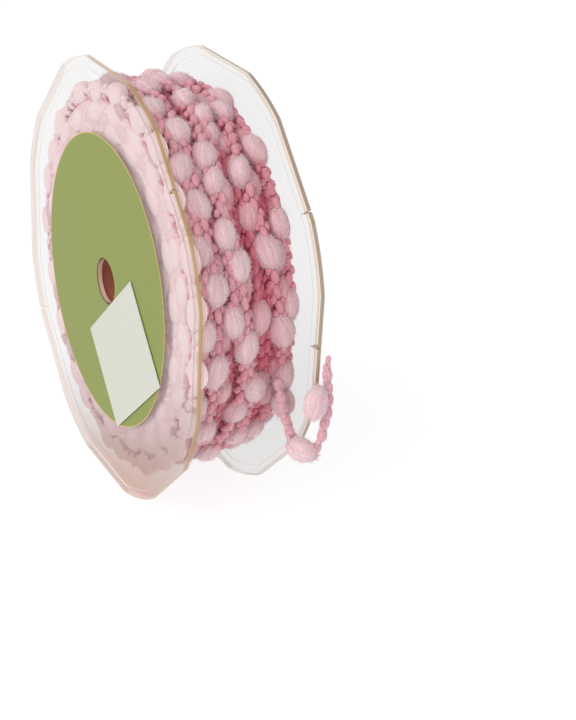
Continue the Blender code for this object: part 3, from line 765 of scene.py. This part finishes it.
class TRIMSPOOL_OT_outer_turns(bpy.types.Operator):
    """Adds the pompoms and chains of the outer turns and of those just under them"""

    bl_idname = "trimspool.add_outer_turns"
    bl_label = "Outer turns"

    def execute(self, context):
        trim = context.scene.trim_settings
        random = np.random.default_rng(7)
        outer, under, chains, fibres = [], [], [], ([], [], [])
        for number, (first, places) in enumerate(TURNS):
            marks = first + POMPOM_PITCH * np.arange(len(places))
            places = np.array(places) * MM
            outer.append(self.turn(trim, random, marks, places, 0.0, 100 + number))
            fibres[0].append(fibre_points(outer[-1], trim.fibres, 800 + number))
            beads = self.chain(trim, marks, places, 0.0, 200 + number)
            fibres[2].extend(fibre_points(batch, 10, 850 + number, 0.45) for batch in beads)
            chains += beads
        size = (trim.pompom_width * 0.95, trim.pompom_width * 0.9, trim.pompom_length)
        along, out = np.array([[0.1, 0.37, -0.92]]), np.array([[0.0, -0.92, -0.37]])
        outer.append(puff_batch(from_axis([LOOSE_POMPOM]), along, out, size, OUTER_MESH, trim.groove,
                                POMPOM_TAPER, 150))
        fibres[0].append(fibre_points(outer[-1], trim.fibres, 810))
        for number, (first, place, drop) in enumerate(UNDER_TURNS):
            marks = first + POMPOM_PITCH * np.arange(POMPOMS_A_TURN) + random.uniform(-4, 4, POMPOMS_A_TURN)
            places = np.clip(place + random.uniform(-2.5, 2.5, POMPOMS_A_TURN), -20, 20.5) * MM
            under.append(self.turn(trim, random, marks, places, drop * MM, 300 + number))
            fibres[1].append(fibre_points(under[-1], trim.fibres // 3, 900 + number))
            chains += self.chain(trim, marks, places, drop * MM, 400 + number)
        pieces = (("outer_pompoms", outer, "brushed", POMPOM_SHADE),
                  ("under_pompoms", under, "brushed", POMPOM_SHADE),
                  ("outer_chains", chains, "twisted", CHAIN_SHADE),
                  ("under_chains", self.filler(trim), "twisted", CHAIN_SHADE))
        for name, batches, kind, share in pieces:
            obj, points = add_puffs(name, batches, press)
            add_attribute(obj, "depth", painted_shade_of(points) * share)
            finish_piece(obj, "pink_yarn", [yarn(trim, kind)], "trim_roll")
        for name, batches in zip(("outer_fibres", "under_fibres", "chain_fibres"), fibres):
            obj = add_needles(name, np.concatenate(batches), press)
            finish_piece(obj, "pink_yarn", [loose_fibre(trim)], "trim_roll")
        return {"FINISHED"}

    def filler(self, trim):
        """Strands without pompoms, each swaying across the spool as it goes round."""
        batches = []
        angle = np.arange(0.0, 360.0, 0.5)
        for number, (place, drop, sway) in enumerate(FILLER_TURNS):
            wave = np.radians(angle) * (3 + number % 3) + 1.7 * number
            x = (place + sway * np.sin(wave)) * MM
            radius = bed_radius(x, angle) + FILLER_SEAT - drop * MM
            path, skip = on_roll(x, angle, radius), np.zeros(len(angle), bool)
            batches += bead_chain(path, outward(angle), skip, bead_sizes(trim), 700 + number)
        return batches

    def turn(self, trim, random, marks, places, drop, seed):
        """The pompoms of one turn, each leaning the way that its strand runs."""
        count = len(marks)
        ahead = turn_track(marks + 5, marks, places)
        behind = turn_track(marks - 5, marks, places)
        lift = bed_radius(places, marks) + POMPOM_SEAT - drop - random.uniform(0.0, 1.5 * MM, count)
        centres = on_roll(places, marks, lift)
        along = on_roll(ahead, marks + 5, lift) - on_roll(behind, marks - 5, lift)
        along = unit(unit(along) + random.normal(0.0, 0.1, (count, 3)))
        grow = random.uniform(0.9, 1.1, count)
        size = (trim.pompom_width * grow, trim.pompom_width * 0.92 * grow, trim.pompom_length * grow)
        mesh = OUTER_MESH if drop == 0 else UNDER_MESH
        return puff_batch(centres, along, outward(marks), size, mesh, trim.groove, POMPOM_TAPER, seed)

    def chain(self, trim, marks, places, drop, seed):
        """The beads of one turn between its pompoms."""
        angle = np.arange(0.0, 360.0, 0.5) + marks[0]
        x = turn_track(angle, marks, places)
        off = nearest(angle, marks)
        dip = 0.8 * MM * np.clip(off / 11.0, 0, 1)
        radius = bed_radius(x, angle) + BEAD_SEAT - drop - dip
        return bead_chain(on_roll(x, angle, radius), outward(angle), off < BARE_ANGLE, bead_sizes(trim), seed)


class TRIMSPOOL_OT_side_turns(bpy.types.Operator):
    """Adds the turns that lie against the two plates, and the bed of yarn under all that shows"""

    bl_idname = "trimspool.add_side_turns"
    bl_label = "Side turns and bed"

    def execute(self, context):
        trim = context.scene.trim_settings
        random = np.random.default_rng(11)
        for side, label in ((-1.0, "near"), (1.0, "far")):
            batches = []
            for number, (radius_mm, count, first) in enumerate(SIDE_TURNS[:None if side < 0 else -1]):
                shift = 0.0 if side < 0 else FAR_SIDE_SHIFT
                marks = first + shift + 360.0 / count * np.arange(count) + random.uniform(-5, 5, count)
                radius = radius_mm * MM + random.uniform(-1.2, 1.2, count) * MM
                centres = on_roll(np.full(count, side * SIDE_POMPOM_X), marks, radius)
                a = np.radians(marks)
                along = np.stack([np.zeros(count), -np.sin(a), np.cos(a)], -1)
                along = unit(along + random.normal(0.0, 0.12, (count, 3)))
                out = np.tile([side, 0.0, 0.0], (count, 1))
                size = (trim.pompom_width, trim.pompom_width * 0.85, trim.pompom_length)
                batches.append(puff_batch(centres, along, out, size, SIDE_MESH, trim.groove, POMPOM_TAPER,
                                          500 + number))
                angle = np.arange(0.0, 360.0, 40.0 / radius_mm) + first
                path = on_roll(np.full(len(angle), side * SIDE_CHAIN_X), angle, radius_mm * MM)
                outs = np.tile([side, 0.0, 0.0], (len(angle), 1))
                skip = nearest(angle, marks) * np.pi / 180 * radius_mm < BARE_LENGTH
                batches += bead_chain(path, outs, skip, bead_sizes(trim), 600 + number + int(side))
            obj, points = add_puffs(f"{label}_side_turns", batches, press)
            add_attribute(obj, "depth", painted_shade_of(points) * SIDE_SHADE)
            finish_piece(obj, "pink_yarn", [yarn(trim, "pressed")], "trim_roll")
        self.bed(trim)
        return {"FINISHED"}

    def bed(self, trim):
        """A section carried round the axis: from the tube up one side, across and down the other.

        Each point is moved out by beads of the chain's size in staggered rows: with p and q the place in its
        cell, from -1 to 1 both ways, the bead's height is the square root of 1 - p squared - q squared.
        """
        angle = np.arange(0.0, 360.0, 1.0)
        half, sides, top = BED_HALF_WIDTH, 26, 40
        middle = np.linspace(-half, half, top + 2)[1:-1]
        across = np.concatenate([np.full(sides, -half), middle, np.full(sides, half)])
        face = np.concatenate([np.full(sides, -1.0), np.zeros(top), np.full(sides, 1.0)])
        share = np.linspace(0.0, 1.0, sides)
        share = np.concatenate([share, np.ones(top), share[::-1]])[:, None]
        crest = bed_radius(across[:, None], angle[None, :]) - BED_DEPTH
        level = (HUB_OUTER + GAP) * (1 - share) + crest * share
        run = np.where(face == 0, across, 0.0)[:, None] + level
        row = np.floor(run / BED_BEAD)
        p = 2 * (run / BED_BEAD - row) - 1
        turn = angle[None, :] / 3.6 + 0.5 * (row % 2) + 0.13 * row
        q = 2 * (turn - np.floor(turn)) - 1
        bead = np.sqrt(np.clip(1 - p**2 - q**2, 0.0, 1.0))
        bead[[0, -1]] = 0.0
        out = level + np.where(face[:, None] == 0, BED_BEAD_TOP * bead, 0.0)
        x = across[:, None] + face[:, None] * BED_BEAD_SIDE * bead
        points = on_roll(x, angle[None, :], out)
        rows, cols = points.shape[:2]
        i, j = np.meshgrid(np.arange(rows), np.arange(cols), indexing="ij")
        uv = np.stack([j, i, j + 1, i, j + 1, i + 1, j, i + 1], -1).reshape(-1, 2) / 12.0
        obj = add_grid("inner_turns", points, grid_quads(rows, cols), uv)
        # Painted shade: the bed's top takes the full crevice colour, and its sides take a little.
        add_attribute(obj, "depth", np.repeat(np.where(face == 0, 1.0, 0.12), cols))
        obj.data.polygons.foreach_set("material_index", np.repeat(np.where(face == 0, 0, 1), cols))
        finish_piece(obj, "pink_yarn", [yarn(trim, "twisted"), yarn(trim, "pressed")], "trim_roll")


def outline_radius(angle):
    """Distance from the axis to the flange's edge: eight flats joined by arcs of one circle."""
    side = 360.0 / FLATS
    from_flat = np.radians((angle + side / 2) % side - side / 2)
    return np.minimum(FLAT_RADIUS / np.cos(from_flat), ROUND_RADIUS)


def flange_columns(slits):
    """Angles of the flange's columns: even ones, the corners of its flats and the edges of its slits."""
    corner = np.degrees(np.arccos(FLAT_RADIUS / ROUND_RADIUS))
    side = 360.0 / FLATS
    corners = [side * i + s * corner for i in range(FLATS) for s in (-1, 1)]
    half = np.degrees(SLIT_WIDTH / 2 / FLAT_RADIUS)
    edges = [s + e for s in slits for e in (-half - 0.02, -half, half, half + 0.02)]
    even = [a for a in np.arange(0.0, 360.0, 1.5) if all(abs(a - e) > 0.4 for e in (*corners, *slits))]
    return np.sort(np.array([*even, *(c % 360 for c in corners), *edges]))


class TRIMSPOOL_OT_spool(bpy.types.Operator):
    """Adds the two clear flanges with their rims and slits, and the tube between them"""

    bl_idname = "trimspool.add_spool"
    bl_label = "Spool"

    def execute(self, context):
        spool = context.scene.spool_settings
        painted_tint, pale = linear("#A87A67"), linear("#C9A48C")
        plate = plastic_material("clear_polystyrene", spool.plate, 0.13, 0.06, painted_tint)
        rim = plastic_material("clear_polystyrene_rim", spool.plate, 0.13, 0.06, painted_tint)
        edge = plastic_material("clear_polystyrene_edge", spool.edge, 0.9, 0.12, pale, 0.3, "fade")
        line = plastic_material("clear_polystyrene_corner", linear("#B79A78"), 0.6, 0.08, pale, 0.3, "fade")
        haze = plastic_material("clear_polystyrene_inner_edge", pale, 0.3, 0.1)
        bore = plastic_material("clear_polystyrene_bore", linear("#D9B39C"), 0.95, 0.2)
        # Painted shade: the far flange's edge is drawn darker than the near one's.
        far_edge = plastic_material("clear_polystyrene_far_edge", linear("#937C60"), 0.9, 0.12, pale, 0.3,
                                    "fade")
        for name, side, slits, wall in (("near_flange", -1.0, NEAR_SLITS, edge),
                                        ("far_flange", 1.0, FAR_SLITS, far_edge)):
            obj = self.flange(f"clear_{name}", side, slits)
            finish_piece(obj, "clear_plastic", [plate, rim, wall, line, haze, bore], name)
        obj = self.hub()
        # Painted shade: the clear tube is drawn dense and reddish brown, as the shaded trim looks through it in
        # the bore.
        wall = plastic_material("clear_polystyrene_tube", linear("#AA6450"), 0.85, 0.2)
        finish_piece(obj, "hub_plastic", [wall], "hub_tube")
        return {"FINISHED"}

    def flange(self, name, side, slits):
        """A section carried round the axis.

        Each of its points is a share of the way from bore to edge, less an inset, at a place along the axis.
        The points between the walls of a slit stay inside its floor.
        """
        angle = flange_columns(slits)
        edge = outline_radius(angle)
        r, wide, out = RIM_ROUND, RIM_WIDTH, HALF_WIDTH
        shares = np.linspace(0.0, 1.0, PLATE_RINGS)
        turn = np.radians([0, 30, 60, 90])
        section = [(s, wide * (s == 1.0), PLATE_OUTER, PLATE) for s in shares]
        section += [
            (1.0, wide - 0.25 * MM, PLATE_OUTER + 0.15 * MM, HAZE),
            (1.0, wide - 0.4 * MM, out - 0.15 * MM, HAZE),
            (1.0, wide - 0.7 * MM, out, RIM),
            (1.0, r, out, RIM),
        ]
        outer_corner = zip(turn[1:], (LINE, LINE, EDGE))
        section += [(1.0, r - r * np.sin(t), out - r + r * np.cos(t), kind) for t, kind in outer_corner]
        section += [(1.0, 0.0, out - 2.0 * MM, HAZE)]
        section += [(1.0, r - r * np.cos(t), RIM_INNER + r - r * np.sin(t), LINE) for t in turn[:3]]
        section += [
            (1.0, r, RIM_INNER, RIM),
            (1.0, wide - 0.3 * MM, RIM_INNER, RIM),
            (1.0, wide, PLATE_INNER, PLATE),
        ]
        section += [(s, 0.0, PLATE_INNER, PLATE if s else BORE) for s in shares[-2::-1]]
        share, inset, place, kind = (np.array(c) for c in zip(*section))
        radius = BORE_RADIUS * (1 - share)[:, None] + edge[None, :] * share[:, None] - inset[:, None]
        half = np.degrees(SLIT_WIDTH / 2 / FLAT_RADIUS)
        in_slit = np.any([np.abs(angle - s) < half + 0.01 for s in slits], axis=0)
        floor = (edge - SLIT_DEPTH)[None, :]
        radius = np.where(in_slit[None, :], np.minimum(radius, floor), radius)
        points = on_roll(side * place[:, None], angle[None, :], radius)
        quads = grid_quads(*radius.shape)[:, ::1 if side < 0 else -1]
        obj = add_grid(name, points, quads, None, np.repeat(kind, len(angle)))
        # Painted light: a warm tint on the near flange's lower right, where the trim's light gathers in the
        # plastic.
        warmth = np.clip(1.15 - np.abs(angle - WARM_ANGLE) / WARM_SPREAD, 0.0, 1.0)[None, :] * (side < 0)
        warmth = warmth * np.clip((radius - WARM_INNER) / WARM_DEPTH, 0.0, 1.0)
        add_attribute(obj, "warmth", warmth)
        # Painted shade: the rims' edges are drawn tan from the top round the -Y side, and pale round the +Y
        # side.
        fade = np.clip((FADE_BELOW[0] - angle) / FADE_BELOW[1], 0.0, 1.0)
        fade = fade + np.clip((angle - FADE_ABOVE[0]) / FADE_ABOVE[1], 0.0, 1.0)
        add_attribute(obj, "fade", np.broadcast_to(fade, radius.shape))
        obj.data.set_sharp_from_angle(angle=SHARP_ANGLE)
        return obj

    def hub(self):
        """The tube's section, a rectangle, carried round the axis."""
        inner, outer, half = HUB_OUTER - HUB_WALL, HUB_OUTER, PRESS_LIMIT
        section = np.array([(-half, inner), (half, inner), (half, outer), (-half, outer)])
        points = on_roll(section[:, :1], np.arange(0.0, 360.0, 5.0), section[:, 1:])
        obj = add_grid("clear_hub", points, grid_quads(*points.shape[:2])[:, [0, 3, 2, 1]])
        obj.data.set_sharp_from_angle(angle=SHARP_ANGLE)
        return obj


class TRIMSPOOL_OT_paper(bpy.types.Operator):
    """Adds the round paper label and the bare paper slip on it"""

    bl_idname = "trimspool.add_paper"
    bl_label = "Paper"

    def execute(self, context):
        spool = context.scene.spool_settings
        green = paper_material("coated_green_paper", spool.green)
        border = paper_material("paper_cut_edge", linear("#B0945F"))
        white = paper_material("coated_white_paper", spool.slip)
        finish_piece(self.disc(), "green_paper", [green, border], "round_label")
        finish_piece(self.slip(), "white_paper", [white], "label_slip")
        return {"FINISHED"}

    def disc(self):
        """Rings from the hole to the edge on both faces, from the axis's circle out to the disc's."""
        angle = np.radians(np.arange(0.0, 360.0, 2.5))
        turn = np.stack([np.cos(angle), np.sin(angle)], -1)
        axis = np.array([0.0, AXIS_HEIGHT])
        share = np.array([0.0, 0.3, 0.6, 0.9, 0.991, 1.0])
        x = np.repeat([LABEL_LOW[0], LABEL_HIGH[0]], len(share))[:, None, None]
        share = np.concatenate([share, share[::-1]])[:, None, None]
        centre = axis * (1 - share) + np.array(LABEL_CENTRE) * share
        flat = centre + turn * (LABEL_HOLE * (1 - share) + LABEL_RADIUS * share)
        points = np.concatenate([np.broadcast_to(x, (*flat.shape[:2], 1)), flat], axis=-1)
        rows, cols = flat.shape[:2]
        at_edge = np.repeat(np.isin(np.arange(rows), (4, 5, 6)), cols)
        return add_grid("paper_disc", points, grid_quads(rows, cols), None, at_edge, smooth=False)

    def slip(self):
        """A thin oblong, turned in its plane."""
        a = np.radians(SLIP_ANGLE)
        along = np.array([0.0, np.cos(a), np.sin(a)]) * SLIP_LENGTH / 2
        across = np.array([0.0, -np.sin(a), np.cos(a)]) * SLIP_HEIGHT / 2
        corners = np.array([[1, 1], [-1, 1], [-1, -1], [1, -1]])
        flat = np.array([0.0, *SLIP_CENTRE]) + corners[:, :1] * along + corners[:, 1:] * across
        front, back = flat.copy(), flat.copy()
        front[:, 0], back[:, 0] = SLIP_LOW[0], SLIP_HIGH[0]
        faces = np.array([[0, 1, 2, 3], [7, 6, 5, 4], [0, 4, 5, 1], [1, 5, 6, 2], [2, 6, 7, 3], [3, 7, 4, 0]])
        return add_grid("paper_slip", np.concatenate([front, back]), faces[:, ::-1], smooth=False)


class TRIMSPOOL_OT_stage(bpy.types.Operator):
    """Adds the pale floor, the soft light and the camera"""

    bl_idname = "trimspool.add_stage"
    bl_label = "Stage"

    def execute(self, context):
        scene = context.scene
        stage = scene.stage_settings
        self.camera(scene)
        floor = self.sweep()
        white = (1.0, 1.0, 1.0, 1.0)
        mat, *_ = new_material("matt_floor", Base_Color=(*stage.floor, 1.0), Roughness=0.9,
                               Emission_Color=white, Emission_Strength=stage.glow)
        floor.data.materials.append(mat)
        world = bpy.data.worlds.new("soft_sky")
        world.use_nodes = True
        feed(world.node_tree, world.node_tree.nodes["Background"], {"Color": white, "Strength": stage.fill})
        scene.world = world
        scene.view_settings.view_transform = "Standard"
        for name, place, size in LIGHTS:
            self.area(f"{name}_light", place, size, getattr(stage, name))
        return {"FINISHED"}

    def sweep(self):
        """A round floor that curves up into a wall: a quarter circle and a straight line carried round Z."""
        turn = np.radians(np.arange(0.0, 360.0, 3.75))
        bend = np.radians(np.arange(0.0, 91.0, 10.0))
        radius = np.append(SWEEP_RADIUS + SWEEP_BEND * np.sin(bend), SWEEP_RADIUS + SWEEP_BEND)
        height = np.append(SWEEP_BEND * (1 - np.cos(bend)), SWEEP_HEIGHT)
        rows, cols = len(height), len(turn)
        points = np.stack([radius[:, None] * np.cos(turn), radius[:, None] * np.sin(turn),
                           np.broadcast_to(height[:, None], (rows, cols))], -1)
        walls = grid_quads(rows, cols, closed=False)
        sizes = np.append(cols, np.full(len(walls), 4))
        corners = np.append(np.arange(cols), walls)
        return add_mesh("floor", points.reshape(-1, 3), corners, sizes, smooth=sizes == 4)

    def camera(self, scene):
        """The photograph's view of the spool, found from its two flanges and its label."""
        data = bpy.data.cameras.new("camera")
        data.sensor_fit = "HORIZONTAL"
        data.sensor_width = SENSOR_WIDTH
        data.lens = CAMERA_LENS
        data.clip_start = 0.01
        camera = bpy.data.objects.new("camera", data)
        turn = Matrix((CAMERA_RIGHT, CAMERA_UP, CAMERA_BACK)).transposed().to_4x4()
        camera.matrix_world = Matrix.Translation(CAMERA_PLACE) @ turn
        scene.collection.objects.link(camera)
        scene.camera = camera

    def area(self, name, place, size, power):
        """A square soft light that faces the spool's middle."""
        data = bpy.data.lights.new(name, "AREA")
        data.size = size
        data.energy = power
        light = bpy.data.objects.new(name, data)
        away = unit(np.array(place) - np.array([0.0, 0.0, AXIS_HEIGHT]))
        side = unit(np.cross([0.0, 0.0, 1.0], away))
        turn = Matrix((side, np.cross(away, side), away)).transposed().to_4x4()
        light.matrix_world = Matrix.Translation(place) @ turn
        bpy.context.scene.collection.objects.link(light)


OPERATORS = (
    TRIMSPOOL_OT_stage,
    TRIMSPOOL_OT_tail,
    TRIMSPOOL_OT_outer_turns,
    TRIMSPOOL_OT_side_turns,
    TRIMSPOOL_OT_spool,
    TRIMSPOOL_OT_paper,
)


class TRIMSPOOL_PT_sidebar(bpy.types.Panel):
    bl_idname = "TRIMSPOOL_PT_sidebar"
    bl_label = "Trim Spool"
    bl_space_type = "VIEW_3D"
    bl_region_type = "UI"
    bl_category = "Trim Spool"

    def draw(self, context):
        for group in ("trim_settings", "spool_settings", "stage_settings"):
            settings = getattr(context.scene, group)
            for key in settings.bl_rna.properties.keys():
                if key not in ("rna_type", "name"):
                    self.layout.prop(settings, key)
        for operator in OPERATORS:
            self.layout.operator(operator.bl_idname)


SETTINGS = {
    "trim_settings": TrimSettings,
    "spool_settings": SpoolSettings,
    "stage_settings": StageSettings,
}


def register():
    for cls in (*SETTINGS.values(), *OPERATORS, TRIMSPOOL_PT_sidebar):
        bpy.utils.register_class(cls)
    for name, cls in SETTINGS.items():
        setattr(bpy.types.Scene, name, bpy.props.PointerProperty(type=cls))


def unregister():
    for name in SETTINGS:
        delattr(bpy.types.Scene, name)
    for cls in reversed((*SETTINGS.values(), *OPERATORS, TRIMSPOOL_PT_sidebar)):
        bpy.utils.unregister_class(cls)


def main():
    register()
    for operator in OPERATORS:
        group, name = operator.bl_idname.split(".")
        getattr(getattr(bpy.ops, group), name)()


if __name__ == "__main__":
    main()
